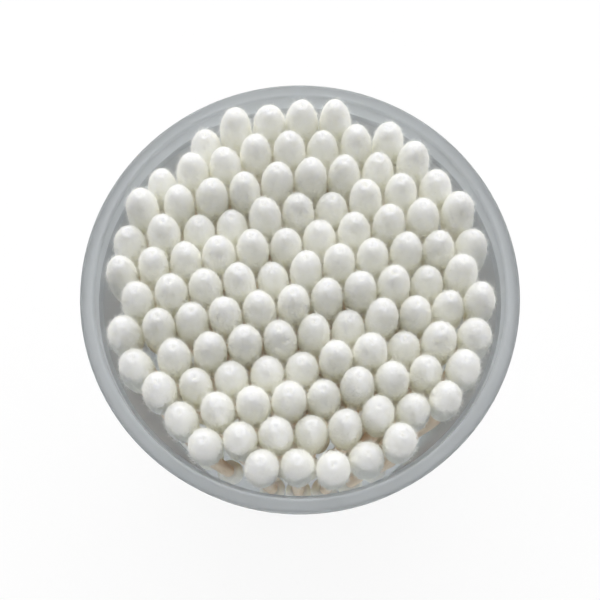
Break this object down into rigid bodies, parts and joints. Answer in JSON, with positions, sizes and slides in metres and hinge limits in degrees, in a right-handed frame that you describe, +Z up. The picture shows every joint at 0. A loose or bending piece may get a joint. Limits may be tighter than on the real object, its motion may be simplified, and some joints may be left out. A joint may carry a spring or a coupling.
{
  "type": "cotton swab tub",
  "caption": "Round open tub of frosted, translucent plastic packed with upright double-ended cotton swabs on wooden sticks, ready to be picked out by their upper buds.",
  "frame": {"origin": "centre of the foot ring, in the plane that the tub stands on", "axes": "+Z up along the tub's axis, out of its mouth; +Y to the far side in the picture, the way that the swabs' upper ends bow; +X to the right in the picture"},
  "size_m": [0.066, 0.066, 0.078],
  "materials": {
    "tub": "frosted, translucent grey polypropylene, satin",
    "stick": "plain turned birch, unvarnished",
    "cotton": "wound bleached cotton wool, matt and slightly fuzzy"
  },
  "bodies": {
    "root": {"tub": "tub", "sticks_row_01": "stick", "sticks_row_02": "stick", "sticks_row_03": "stick", "sticks_row_04": "stick", "sticks_row_05": "stick", "sticks_row_06": "stick", "sticks_row_07": "stick", "sticks_row_08": "stick", "sticks_row_09": "stick", "sticks_row_10": "stick", "sticks_row_11": "stick", "sticks_row_12": "stick", "upper_buds_row_01": "cotton", "upper_buds_row_02": "cotton", "upper_buds_row_03": "cotton", "upper_buds_row_04": "cotton", "upper_buds_row_05": "cotton", "upper_buds_row_06": "cotton", "upper_buds_row_07": "cotton", "upper_buds_row_08": "cotton", "upper_buds_row_09": "cotton", "upper_buds_row_10": "cotton", "upper_buds_row_11": "cotton", "upper_buds_row_12": "cotton", "lower_buds_row_01": "cotton", "lower_buds_row_02": "cotton", "lower_buds_row_03": "cotton", "lower_buds_row_04": "cotton", "lower_buds_row_05": "cotton", "lower_buds_row_06": "cotton", "lower_buds_row_07": "cotton", "lower_buds_row_08": "cotton", "lower_buds_row_09": "cotton", "lower_buds_row_10": "cotton", "lower_buds_row_11": "cotton", "lower_buds_row_12": "cotton"}
  },
  "joints": []
}
